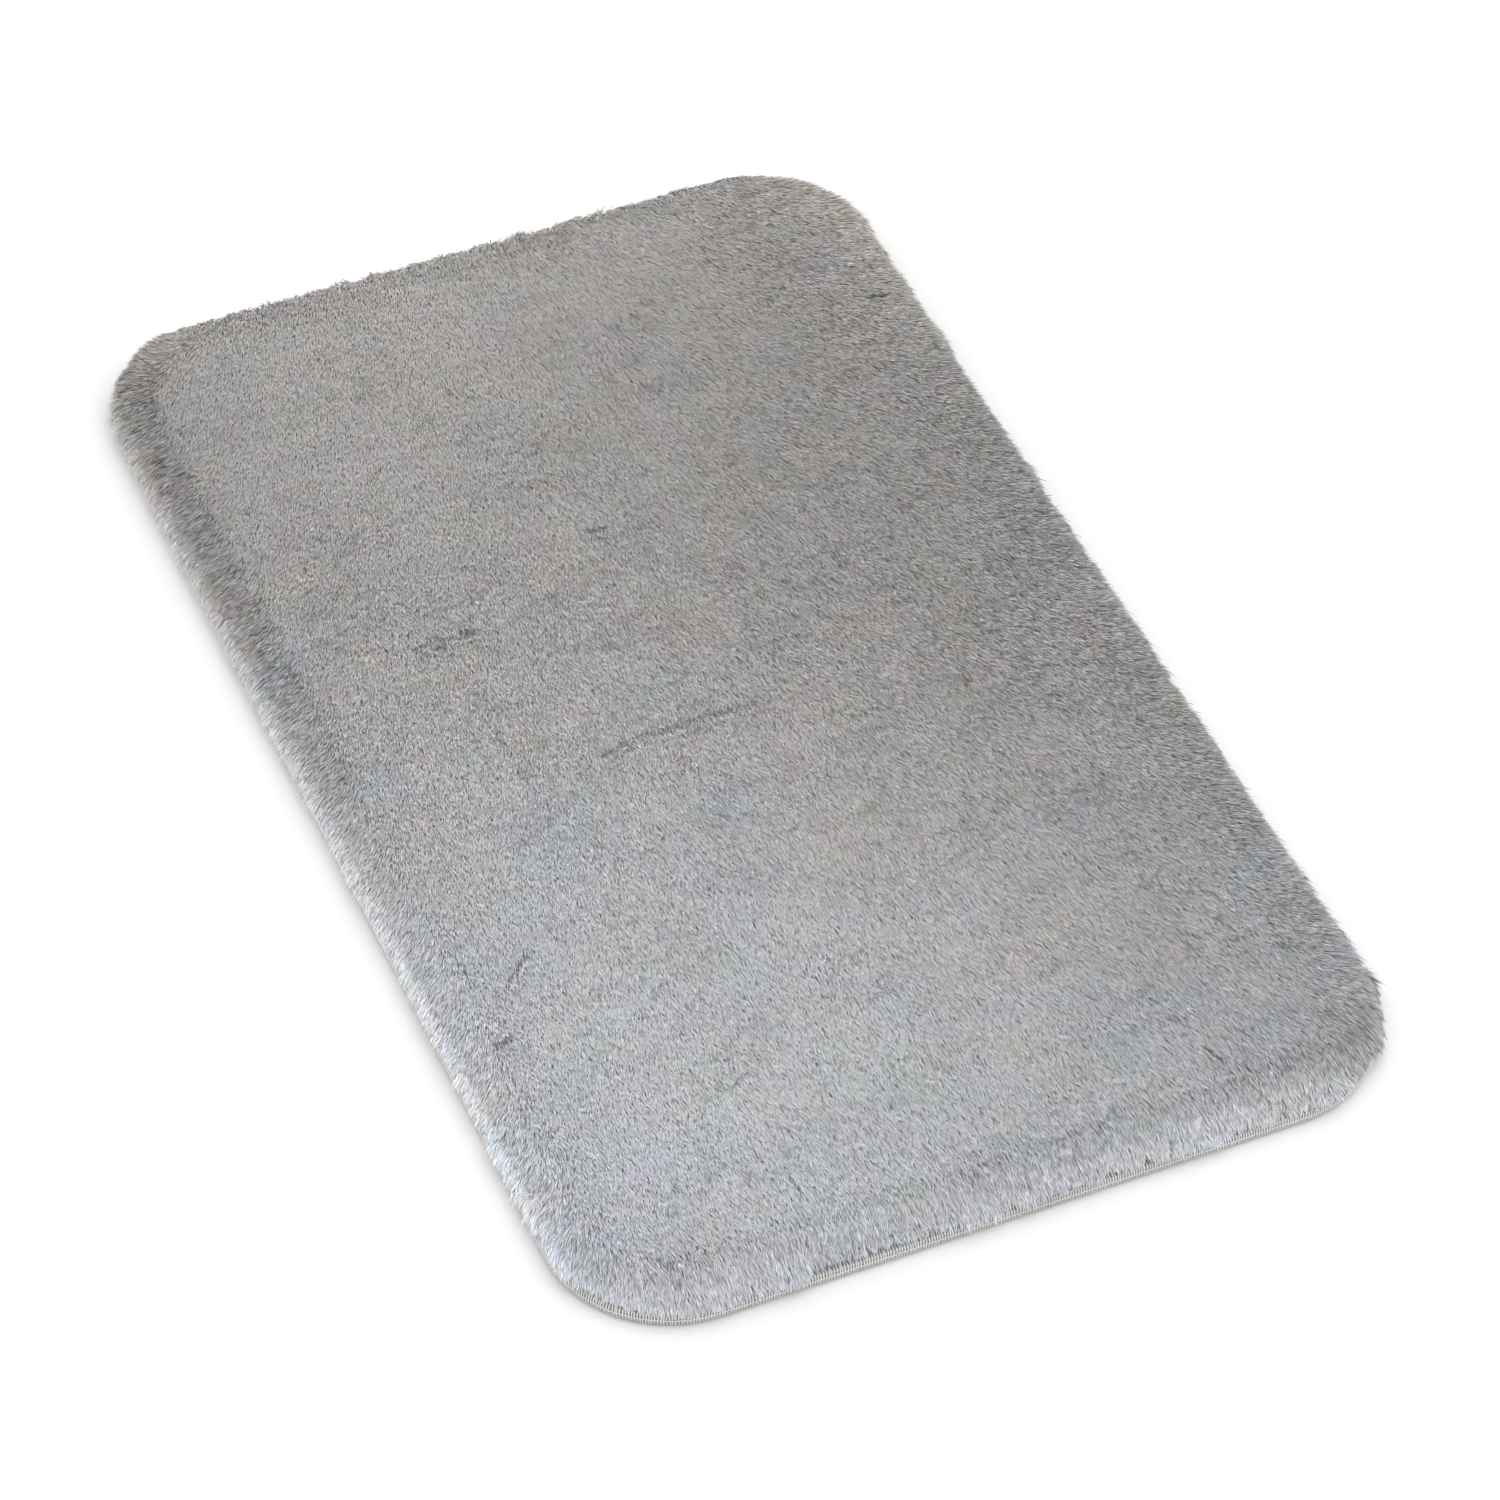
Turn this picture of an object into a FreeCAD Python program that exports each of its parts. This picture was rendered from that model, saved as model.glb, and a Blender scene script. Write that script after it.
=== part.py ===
import FreeCAD, Part
import math
import os
from FreeCAD import Vector

# Faux-fur bath mat, lying flat, pile up.
# X runs along the short side, Y along the long side, Z up. The origin is the centre of the
# underside, on the floor plane that the dots of the grip coating stand on. Millimetres.

# ---------------------------------------------------------------- driving dimensions
CUT_W = 480.0          # width that the three base layers are cut to
CUT_L = 806.0          # length that the three base layers are cut to
CUT_R = 70.0           # corner radius of the cut base

SKIN_T = 0.3           # rubber skin of the grip coating, spread on the backing cloth
DOT_H = 1.2            # height of a grip dot below that skin
DOT_D_BASE = 6.0       # diameter of a dot where it leaves the skin
DOT_D_FLOOR = 4.8      # diameter of its flat foot
DOT_PITCH = 30.0       # pitch of the dots within a row, rows are staggered at half of it
DOT_MARGIN = 12.0      # clear strip between the cut edge and the nearest dot centre

BACKING_T = 0.8        # woven non-slip backing cloth
FOAM_T = 5.0           # foam sheet
GROUND_T = 1.0         # knitted ground fabric that holds the pile

THREAD_T = 0.5         # how far the overlock threads lie proud of the two faces
EDGE_T = 0.9           # how far they lie proud of the cut edge, where they interlock
SEAM_W = 5.5           # bite of the overlock, from the cut edge to the needle line
NEEDLE_W = 0.6         # width of the needle thread's line of stitches

PILE_OVER = 3.0        # the pile stands out past the cut edge by this much
PILE_TOP = 27.0        # height of the pile's surface above the floor
PILE_SKIRT = 5.5       # lowest point of the hair that hangs over the edge
PILE_SHOULDER = 15.0   # radius of the rounded shoulder where the pile turns over the edge
PILE_HEM_R = 1.2       # rounding of the hair ends under the overhang
CLEAR = 0.3            # soft pile stays this far off the threads

# ---------------------------------------------------------------- levels that follow
Z_BACKING = DOT_H + SKIN_T
Z_FOAM = Z_BACKING + BACKING_T
Z_GROUND = Z_FOAM + FOAM_T
Z_ROOT = Z_GROUND + GROUND_T            # where the hair leaves the ground fabric
Z_KNOT = (Z_BACKING + Z_ROOT) / 2.0     # line where the two looper threads interlock

os.makedirs("parts", exist_ok=True)


def outline(grow):
    """Wire of the rounded rectangle, grown outwards by so many mm, at height 0."""
    w = CUT_W / 2.0 + grow
    l = CUT_L / 2.0 + grow
    r = CUT_R + grow
    c = r * math.cos(math.radians(45.0))
    edges = [
        Part.LineSegment(Vector(-w + r, -l, 0), Vector(w - r, -l, 0)).toShape(),
        Part.Arc(Vector(w - r, -l, 0), Vector(w - r + c, -l + r - c, 0), Vector(w, -l + r, 0)).toShape(),
        Part.LineSegment(Vector(w, -l + r, 0), Vector(w, l - r, 0)).toShape(),
        Part.Arc(Vector(w, l - r, 0), Vector(w - r + c, l - r + c, 0), Vector(w - r, l, 0)).toShape(),
        Part.LineSegment(Vector(w - r, l, 0), Vector(-w + r, l, 0)).toShape(),
        Part.Arc(Vector(-w + r, l, 0), Vector(-w + r - c, l - r + c, 0), Vector(-w, l - r, 0)).toShape(),
        Part.LineSegment(Vector(-w, l - r, 0), Vector(-w, -l + r, 0)).toShape(),
        Part.Arc(Vector(-w, -l + r, 0), Vector(-w + r - c, -l + r - c, 0), Vector(-w + r, -l, 0)).toShape(),
    ]
    return Part.Wire(edges)


def slab(grow, z0, z1):
    """Flat slab with the mat's outline between two heights."""
    body = Part.Face(outline(grow)).extrude(Vector(0, 0, z1 - z0))
    body.translate(Vector(0, 0, z0))
    return body


def ring(grow_in, grow_out, z0, z1):
    """Band that follows the outline between two offsets and two heights."""
    return slab(grow_out, z0, z1).cut(slab(grow_in, z0 - 1.0, z1 + 1.0))


def inside(x, y, inset):
    """Whether a point lies within the outline pulled in by so many mm."""
    w = CUT_W / 2.0 - inset
    l = CUT_L / 2.0 - inset
    r = max(CUT_R - inset, 1.0)
    dx = max(abs(x) - (w - r), 0.0)
    dy = max(abs(y) - (l - r), 0.0)
    return abs(x) <= w and abs(y) <= l and math.hypot(dx, dy) <= r


# ---------------------------------------------------------------- base layers
backing_cloth = slab(0.0, Z_BACKING, Z_FOAM)
foam_core = slab(0.0, Z_FOAM, Z_GROUND)
ground_fabric = slab(0.0, Z_GROUND, Z_ROOT)

# ---------------------------------------------------------------- grip coating
# A thin rubber skin with raised dots, one of them on the origin. It stops short of the seam,
# so that the lower looper thread lies on the backing cloth.
one_dot = Part.makeCone(DOT_D_FLOOR / 2.0, DOT_D_BASE / 2.0, DOT_H)
dots = []
rows = int(CUT_L / DOT_PITCH) + 1
cols = int(CUT_W / DOT_PITCH) + 1
for j in range(-2 * rows, 2 * rows + 1):
    y = j * DOT_PITCH / 2.0
    for i in range(-cols, cols + 1):
        x = (i + (0.5 if j % 2 else 0.0)) * DOT_PITCH
        if inside(x, y, DOT_MARGIN):
            dot = one_dot.copy()
            dot.translate(Vector(x, y, 0))
            dots.append(dot)
skin = slab(-SEAM_W - NEEDLE_W - CLEAR, DOT_H, Z_BACKING)
grip_coating = skin.multiFuse(dots)
if grip_coating.ShapeType != "Solid":
    grip_coating = grip_coating.Solids[0]

# ---------------------------------------------------------------- three-thread overlock
# The upper looper thread lies over the top of the edge and down to the knot line, the lower
# looper thread comes up from underneath to the same line, and the needle thread locks the
# upper one down along the inner side of the seam.
upper_looper_thread = ring(-SEAM_W, 0.0, Z_ROOT, Z_ROOT + THREAD_T).fuse(
    ring(0.0, EDGE_T, Z_KNOT, Z_ROOT + THREAD_T)
).removeSplitter()
lower_looper_thread = ring(-SEAM_W, 0.0, Z_BACKING - THREAD_T, Z_BACKING).fuse(
    ring(0.0, EDGE_T, Z_BACKING - THREAD_T, Z_KNOT)
).removeSplitter()
needle_thread = ring(-SEAM_W - NEEDLE_W, -SEAM_W, Z_ROOT, Z_ROOT + THREAD_T)

# ---------------------------------------------------------------- pile
# One soft body: the top, the rounded shoulder and the hair that hangs over the edge. The
# base sits in its underside, and a rebate leaves room for the overlock.
pile = slab(PILE_OVER, PILE_SKIRT, PILE_TOP)
top_edges = [e for e in pile.Edges if all(abs(v.Z - PILE_TOP) < 1e-6 for v in e.Vertexes)]
pile = pile.makeFillet(PILE_SHOULDER, top_edges)
low_edges = [e for e in pile.Edges if all(abs(v.Z - PILE_SKIRT) < 1e-6 for v in e.Vertexes)]
pile = pile.makeFillet(PILE_HEM_R, low_edges)
pile = pile.cut(slab(EDGE_T + CLEAR, PILE_SKIRT - 1.0, Z_ROOT))
pile = pile.cut(ring(-SEAM_W - NEEDLE_W - CLEAR, EDGE_T + CLEAR, Z_ROOT - 0.5, Z_ROOT + THREAD_T + CLEAR))
pile = pile.removeSplitter()

NODES = {
    "fur_pile": pile,
    "ground_fabric": ground_fabric,
    "foam_core": foam_core,
    "backing_cloth": backing_cloth,
    "grip_coating": grip_coating,
    "upper_looper_thread": upper_looper_thread,
    "lower_looper_thread": lower_looper_thread,
    "needle_thread": needle_thread,
}

for name, shape in NODES.items():
    if shape.ShapeType == "Compound" and len(shape.Solids) == 1:
        shape = shape.Solids[0]
    shape.exportStep("parts/%s.step" % name)
    b = shape.BoundBox
    print(
        "%-20s %-9s valid=%s solids=%d volume=%.1f cm3  x %.1f..%.1f  y %.1f..%.1f  z %.2f..%.2f"
        % (name, shape.ShapeType, shape.isValid(), len(shape.Solids), shape.Volume / 1000.0,
           b.XMin, b.XMax, b.YMin, b.YMax, b.ZMin, b.ZMax)
    )

names = list(NODES)
for i, a in enumerate(names):
    for b in names[i + 1:]:
        common = NODES[a].common(NODES[b])
        if common.Volume > 1e-3:
            print("OVERLAP", a, b, common.Volume)
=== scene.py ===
import math

import bpy
import numpy as np
from mathutils import Matrix, Vector


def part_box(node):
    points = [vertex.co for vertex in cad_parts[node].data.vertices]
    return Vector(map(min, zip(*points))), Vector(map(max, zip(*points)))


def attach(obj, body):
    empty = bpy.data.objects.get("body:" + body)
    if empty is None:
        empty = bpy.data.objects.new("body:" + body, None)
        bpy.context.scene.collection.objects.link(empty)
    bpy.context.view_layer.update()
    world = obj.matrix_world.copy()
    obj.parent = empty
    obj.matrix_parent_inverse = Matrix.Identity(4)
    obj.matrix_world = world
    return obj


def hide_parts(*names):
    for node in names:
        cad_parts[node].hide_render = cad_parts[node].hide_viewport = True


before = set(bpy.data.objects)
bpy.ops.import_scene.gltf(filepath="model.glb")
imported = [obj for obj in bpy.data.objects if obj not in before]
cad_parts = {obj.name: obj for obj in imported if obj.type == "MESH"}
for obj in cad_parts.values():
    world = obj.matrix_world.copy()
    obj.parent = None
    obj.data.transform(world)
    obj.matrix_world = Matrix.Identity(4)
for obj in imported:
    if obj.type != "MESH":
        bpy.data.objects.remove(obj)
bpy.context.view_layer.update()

# Lengths below are in millimetres; meshes are written in metres.
MM = 0.001


def box(node):
    lo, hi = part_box(node)
    return np.array(lo) / MM, np.array(hi) / MM


PILE_LO, PILE_HI = box("fur_pile")
GROUND_LO, GROUND_HI = box("ground_fabric")
FOAM_LO, FOAM_HI = box("foam_core")
BACK_LO, BACK_HI = box("backing_cloth")
GRIP_LO, GRIP_HI = box("grip_coating")
UPPER_LO, UPPER_HI = box("upper_looper_thread")
LOWER_LO, LOWER_HI = box("lower_looper_thread")
NEEDLE_LO, NEEDLE_HI = box("needle_thread")

CUT_R = 70.0                                   # corner radius of the cut base, as in the CAD
HW, HL = PILE_HI[0], PILE_HI[1]                # half sizes of the pile
BW, BL = GROUND_HI[0], GROUND_HI[1]            # half sizes of the cut base
OVER = HW - BW
HR = CUT_R + OVER
TOP = PILE_HI[2]
Z_ROOT = GROUND_HI[2]
Z_KNOT = UPPER_LO[2]
Z_UNDER = BACK_LO[2]
SEAM_W = BW - NEEDLE_HI[0]                     # bite of the overlock

# ------------------------------------------------------------------ numbers and noise


def hash01(ix, iy, seed):
    """A number from 0 to 1 for each lattice point, the same on each run."""
    h = (
        ix.astype(np.int64).astype(np.uint32) * np.uint32(374761393)
        + iy.astype(np.int64).astype(np.uint32) * np.uint32(668265263)
        + np.uint32((seed * 1442695041 + 12345) & 0xFFFFFFFF)
    )
    h = (h ^ (h >> np.uint32(13))) * np.uint32(1274126177)
    h = (h ^ (h >> np.uint32(15))) * np.uint32(2246822519)
    return (h ^ (h >> np.uint32(16))).astype(np.float64) / 4294967295.0


def noise(x, y, seed):
    """Smooth noise, about -1 to 1, with features one unit across."""
    x, y = np.asarray(x, float), np.asarray(y, float)
    ix, iy = np.floor(x), np.floor(y)
    fx, fy = x - ix, y - iy
    sx, sy = fx * fx * fx * (fx * (fx * 6 - 15) + 10), fy * fy * fy * (fy * (fy * 6 - 15) + 10)

    def corner(dx, dy):
        a = hash01(ix + dx, iy + dy, seed) * 2 * np.pi
        return np.cos(a) * (fx - dx) + np.sin(a) * (fy - dy)

    n = (corner(0, 0) * (1 - sx) + corner(1, 0) * sx) * (1 - sy) + (
        corner(0, 1) * (1 - sx) + corner(1, 1) * sx
    ) * sy
    return n * 1.5


def unit(v):
    return v / np.maximum(np.linalg.norm(v, axis=-1, keepdims=True), 1e-9)


def smooth(a, b, x):
    t = np.clip((x - a) / (b - a), 0, 1)
    return t * t * (3 - 2 * t)


# ------------------------------------------------------------------ the rounded rectangle


def inside_by(x, y, hw, hl, r):
    """How far each point lies inside the outline, and the outward direction there."""
    qx, qy = np.abs(x) - (hw - r), np.abs(y) - (hl - r)
    cx, cy = np.maximum(qx, 0), np.maximum(qy, 0)
    out = np.hypot(cx, cy)
    d = out + np.minimum(np.maximum(qx, qy), 0) - r
    corner = (qx > 0) & (qy > 0)
    gx = np.where(corner, cx / np.maximum(out, 1e-9), (qx >= qy) * 1.0) * np.where(x < 0, -1, 1)
    gy = np.where(corner, cy / np.maximum(out, 1e-9), (qx < qy) * 1.0) * np.where(y < 0, -1, 1)
    return -d, gx, gy


def perimeter(hw, hl, r):
    return 4 * (hw - r) + 4 * (hl - r) + 2 * math.pi * r


def along(s, hw, hl, r):
    """Points of the outline and outward normals at distances s along it, from the front side's middle, counter-clockwise."""
    total = perimeter(hw, hl, r)
    s = np.mod(s, total)
    q = math.pi * r / 2
    runs = [hw - r, q, 2 * (hl - r), q, 2 * (hw - r), q, 2 * (hl - r), q, hw - r]
    edges = np.concatenate([[0], np.cumsum(runs)])
    x, y, nx, ny = (np.zeros_like(s) for _ in range(4))

    def put(i, px, py, ax, ay):
        m = (s >= edges[i]) & (s <= edges[i + 1] + 1e-9)
        t = s[m] - edges[i]
        x[m], y[m], nx[m], ny[m] = px(t), py(t), ax(t), ay(t)

    one = np.ones_like
    put(0, lambda t: t, lambda t: -hl * one(t), lambda t: 0 * t, lambda t: -one(t))
    put(2, lambda t: hw * one(t), lambda t: -(hl - r) + t, lambda t: one(t), lambda t: 0 * t)
    put(4, lambda t: (hw - r) - t, lambda t: hl * one(t), lambda t: 0 * t, lambda t: one(t))
    put(6, lambda t: -hw * one(t), lambda t: (hl - r) - t, lambda t: -one(t), lambda t: 0 * t)
    put(8, lambda t: -(hw - r) + t, lambda t: -hl * one(t), lambda t: 0 * t, lambda t: -one(t))
    for i, cx, cy, a0 in (
        (1, hw - r, -(hl - r), -90),
        (3, hw - r, hl - r, 0),
        (5, -(hw - r), hl - r, 90),
        (7, -(hw - r), -(hl - r), 180),
    ):
        ang = lambda t, a0=a0: np.radians(a0) + t / r
        put(
            i,
            lambda t, ang=ang, cx=cx: cx + r * np.cos(ang(t)),
            lambda t, ang=ang, cy=cy: cy + r * np.sin(ang(t)),
            lambda t, ang=ang: np.cos(ang(t)),
            lambda t, ang=ang: np.sin(ang(t)),
        )
    return x, y, nx, ny


# ------------------------------------------------------------------ mesh making


def make_mesh(name, co, faces_by_size, uv=None, tone_and_painted_light=None, shade=None):
    """A mesh object from numpy arrays. faces_by_size is a list of (n, k) index arrays."""
    me = bpy.data.meshes.new(name)
    me.vertices.add(len(co))
    me.vertices.foreach_set("co", (np.asarray(co, np.float32) * MM).ravel())
    flat = np.concatenate([f.ravel() for f in faces_by_size]).astype(np.int32)
    sizes = np.concatenate([np.full(len(f), f.shape[1], np.int32) for f in faces_by_size])
    starts = np.concatenate([[0], np.cumsum(sizes)[:-1]]).astype(np.int32)
    me.loops.add(len(flat))
    me.loops.foreach_set("vertex_index", flat)
    me.polygons.add(len(sizes))
    me.polygons.foreach_set("loop_start", starts)
    me.update(calc_edges=True)
    if uv is not None:
        layer = me.uv_layers.new(name="OFBake")
        layer.data.foreach_set("uv", np.asarray(uv, np.float32)[flat].ravel())
    for attr, values in (("tone_and_painted_light", tone_and_painted_light), ("shade", shade)):
        if values is not None:
            a = me.attributes.new(attr, "FLOAT", "POINT")
            a.data.foreach_set("value", np.asarray(values, np.float32))
    ob = bpy.data.objects.new(name, me)
    bpy.context.scene.collection.objects.link(ob)
    return ob


def spaced(half, near, step):
    """Positions from -half to half, close together near both ends."""
    near = [v for v in near if v < half * 0.6]
    rest = half - near[-1]
    n = max(int(round(2 * rest / step)), 2)
    mid = np.linspace(-rest, rest, n + 1)
    left = -half + np.array(near[:-1])
    return np.concatenate([left, mid, -left[::-1]])


def slab_mesh(name, hw, hl, r, xs, ys, top, under):
    """Closed slab with the outline of a rounded rectangle. top and under give the heights of the two faces from x, y and the distance inside the edge."""
    yy = np.asarray(ys)
    past = np.maximum(np.abs(yy) - (hl - r), 0)
    wide = hw - r + np.sqrt(np.maximum(r * r - past * past, 0))
    X = (np.asarray(xs)[None, :] / hw) * wide[:, None]
    Y = np.repeat(yy[:, None], len(xs), 1)
    ny, nx = X.shape
    d, _, _ = inside_by(X, Y, hw, hl, r)
    d = np.maximum(d, 0)
    zt, zb = top(X, Y, d), under(X, Y, d)
    n = nx * ny
    idx = np.arange(n).reshape(ny, nx)
    co = np.concatenate(
        [np.stack([X, Y, zt], -1).reshape(-1, 3), np.stack([X, Y, zb], -1).reshape(-1, 3)]
    )
    quads_top = np.stack([idx[:-1, :-1], idx[:-1, 1:], idx[1:, 1:], idx[1:, :-1]], -1).reshape(-1, 4)
    quads_low = quads_top[:, ::-1] + n
    ring = np.concatenate([idx[0, :-1], idx[:-1, -1], idx[-1, :0:-1], idx[:0:-1, 0]])
    nxt = np.roll(ring, -1)
    side = np.stack([ring, ring + n, nxt + n, nxt], -1)
    return make_mesh(name, co, [np.concatenate([quads_top, quads_low, side])])


def tube_mesh(name, path, radius, sides=6, closed=True):
    """Round thread along a list of points."""
    p = np.asarray(path, float)
    n = len(p)
    tan = unit(np.roll(p, -1, 0) - np.roll(p, 1, 0)) if closed else unit(np.gradient(p, axis=0))
    frame_n = np.zeros_like(p)
    a = np.cross(tan[0], [0.0, 0.0, 1.0])
    a = a / max(np.linalg.norm(a), 1e-9)
    for i in range(n):
        a = a - tan[i] * (a @ tan[i])
        a = a / max(math.sqrt(a @ a), 1e-9)
        frame_n[i] = a
    other = np.cross(tan, frame_n)
    ang = np.linspace(0, 2 * np.pi, sides, endpoint=False)
    rad = np.broadcast_to(np.asarray(radius, float), (n,))
    co = (
        p[:, None, :]
        + (np.cos(ang)[None, :, None] * frame_n[:, None, :] + np.sin(ang)[None, :, None] * other[:, None, :])
        * rad[:, None, None]
    ).reshape(-1, 3)
    i = np.arange(n if closed else n - 1)
    j = np.arange(sides)
    i, j = np.meshgrid(i, j, indexing="ij")
    i2, j2 = (i + 1) % n, (j + 1) % sides
    quads = np.stack([i * sides + j, i * sides + j2, i2 * sides + j2, i2 * sides + j], -1).reshape(-1, 4)
    return make_mesh(name, co, [quads])


# ------------------------------------------------------------------ materials


def new_material(name):
    m = bpy.data.materials.new(name)
    m.use_nodes = True
    nt = m.node_tree
    nt.nodes.clear()
    out = nt.nodes.new("ShaderNodeOutputMaterial")
    p = nt.nodes.new("ShaderNodeBsdfPrincipled")
    nt.links.new(p.outputs[0], out.inputs["Surface"])
    return m, nt, p


def node(nt, kind, **inputs):
    n = nt.nodes.new(kind)
    for k, v in inputs.items():
        n.inputs[k.replace("_", " ")].default_value = v
    return n


def maths(nt, op, a, b=None, c=None, clamp=False):
    n = nt.nodes.new("ShaderNodeMath")
    n.operation = op
    n.use_clamp = clamp
    for i, v in enumerate((a, b, c)):
        if v is None:
            continue
        if isinstance(v, (int, float)):
            n.inputs[i].default_value = v
        else:
            nt.links.new(v, n.inputs[i])
    return n.outputs[0]


def mix_colour(nt, fac, a, b, blend="MIX"):
    n = nt.nodes.new("ShaderNodeMix")
    n.data_type = "RGBA"
    n.blend_type = blend
    for sock, v in ((n.inputs[0], fac), (n.inputs[6], a), (n.inputs[7], b)):
        if isinstance(v, (int, float)):
            sock.default_value = v
        elif isinstance(v, tuple):
            sock.default_value = (*v, 1)
        else:
            nt.links.new(v, sock)
    return n.outputs[2]


def ramp(nt, fac, stops):
    n = nt.nodes.new("ShaderNodeValToRGB")
    while len(n.color_ramp.elements) < len(stops):
        n.color_ramp.elements.new(0.5)
    for e, (pos, colour) in zip(n.color_ramp.elements, stops):
        e.position = pos
        e.color = (*colour, 1) if isinstance(colour, tuple) else (colour, colour, colour, 1)
    nt.links.new(fac, n.inputs[0])
    return n.outputs[0]


def object_noise(nt, scale, detail=3.0, rough=0.5, stretch=None):
    tc = nt.nodes.new("ShaderNodeTexCoord")
    vec = tc.outputs["Object"]
    if stretch is not None:
        mp = nt.nodes.new("ShaderNodeMapping")
        mp.inputs["Scale"].default_value = stretch
        nt.links.new(vec, mp.inputs["Vector"])
        vec = mp.outputs[0]
    n = node(nt, "ShaderNodeTexNoise", Scale=scale, Detail=detail, Roughness=rough)
    nt.links.new(vec, n.inputs["Vector"])
    return n.outputs[0]


# hair tints: the cool and warm ends serve both the random patches and the painted hue of the light
FUR_COOL_PATCH_AND_LIGHT = (0.485, 0.500, 0.534)
FUR_MID = (0.506, 0.500, 0.4975)
FUR_WARM_PATCH_AND_LIGHT = (0.532, 0.500, 0.464)


def fur_material(name, dark=1.0):
    """Grey polyester hair: darker at the root and paler at the tip as painted shade, with soft warm and cool patches
    and a painted hue of the light, cool towards the front left and warm towards the back right.
    """
    m, nt, p = new_material(name)
    patches = object_noise(nt, 22.0, 3.0, 0.65)
    lean = nt.nodes.new("ShaderNodeTexCoord")
    split = nt.nodes.new("ShaderNodeSeparateXYZ")
    nt.links.new(lean.outputs["Object"], split.inputs[0])
    # painted light hue: a slope in object space from cool at the front left to warm at the back right, added to the
    # random patches
    painted_light_hue_y = maths(nt, "MULTIPLY_ADD", split.outputs[1], 0.75, 0.5)
    across = maths(nt, "MULTIPLY_ADD", split.outputs[0], 0.5, painted_light_hue_y)
    warm = maths(nt, "ADD", across, maths(nt, "MULTIPLY", maths(nt, "SUBTRACT", patches, 0.5), 1.5))
    tint = ramp(nt, warm, [(0.05, FUR_COOL_PATCH_AND_LIGHT), (0.5, FUR_MID), (0.95, FUR_WARM_PATCH_AND_LIGHT)])
    # this attribute brings the random tone and the painted light and shade of each hair into the colour
    tone_and_painted_light = nt.nodes.new("ShaderNodeAttribute")
    tone_and_painted_light.attribute_name = "tone_and_painted_light"
    fine = object_noise(nt, 420.0, 2.0, 0.6)
    value = maths(
        nt, "MULTIPLY", tone_and_painted_light.outputs["Fac"], maths(nt, "MULTIPLY_ADD", fine, 0.3 * dark, 0.85 * dark)
    )
    grey = nt.nodes.new("ShaderNodeCombineColor")
    for i in range(3):
        nt.links.new(value, grey.inputs[i])
    rosy = object_noise(nt, 31.0, 2.0, 0.6, (1.0, 1.2, 1.0))
    blush = ramp(nt, rosy, [(0.32, (0.972, 1.0, 0.985)), (0.68, (1.022, 0.990, 1.012))])
    tint = mix_colour(nt, 1.0, tint, blush, "MULTIPLY")
    nt.links.new(mix_colour(nt, 1.0, tint, grey.outputs[0], "MULTIPLY"), p.inputs["Base Color"])
    p.inputs["Roughness"].default_value = 0.62
    p.inputs["Specular IOR Level"].default_value = 0.35
    p.inputs["Sheen Weight"].default_value = 0.25
    p.inputs["Sheen Roughness"].default_value = 0.45
    p.inputs["Sheen Tint"].default_value = (0.9, 0.93, 1.0, 1)
    return m


def under_fur_material():
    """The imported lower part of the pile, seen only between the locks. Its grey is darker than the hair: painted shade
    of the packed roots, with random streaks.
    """
    m, nt, p = new_material("under_fur_painted_shade")
    streaks = object_noise(nt, 900.0, 3.0, 0.65, (1.0, 0.35, 1.0))
    broad = object_noise(nt, 60.0, 3.0, 0.5)
    f = maths(nt, "MULTIPLY_ADD", broad, 0.4, maths(nt, "MULTIPLY", streaks, 0.6))
    nt.links.new(
        ramp(nt, f, [(0.3, (0.29, 0.287, 0.285)), (0.55, (0.38, 0.378, 0.377)), (0.8, (0.46, 0.46, 0.463))]),
        p.inputs["Base Color"],
    )
    nt.links.new(ramp(nt, streaks, [(0.2, 0.75), (0.8, 0.95)]), p.inputs["Roughness"])
    bump = node(nt, "ShaderNodeBump", Strength=0.8, Distance=0.0012)
    nt.links.new(f, bump.inputs["Height"])
    nt.links.new(bump.outputs[0], p.inputs["Normal"])
    return m


def thread_material():
    """Spun polyester sewing thread with its ply twist."""
    m, nt, p = new_material("overlock_thread")
    ply = object_noise(nt, 2600.0, 3.0, 0.6, (1.0, 1.0, 0.5))
    broad = object_noise(nt, 30.0, 2.0, 0.5)
    f = maths(nt, "MULTIPLY_ADD", broad, 0.35, maths(nt, "MULTIPLY", ply, 0.65))
    nt.links.new(
        ramp(nt, f, [(0.25, (0.49, 0.487, 0.48)), (0.5, (0.68, 0.676, 0.668)), (0.78, (0.82, 0.817, 0.81))]),
        p.inputs["Base Color"],
    )
    nt.links.new(ramp(nt, ply, [(0.2, 0.55), (0.8, 0.85)]), p.inputs["Roughness"])
    bump = node(nt, "ShaderNodeBump", Strength=0.5, Distance=0.0002)
    nt.links.new(ply, bump.inputs["Height"])
    nt.links.new(bump.outputs[0], p.inputs["Normal"])
    p.inputs["Sheen Weight"].default_value = 0.2
    return m


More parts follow.
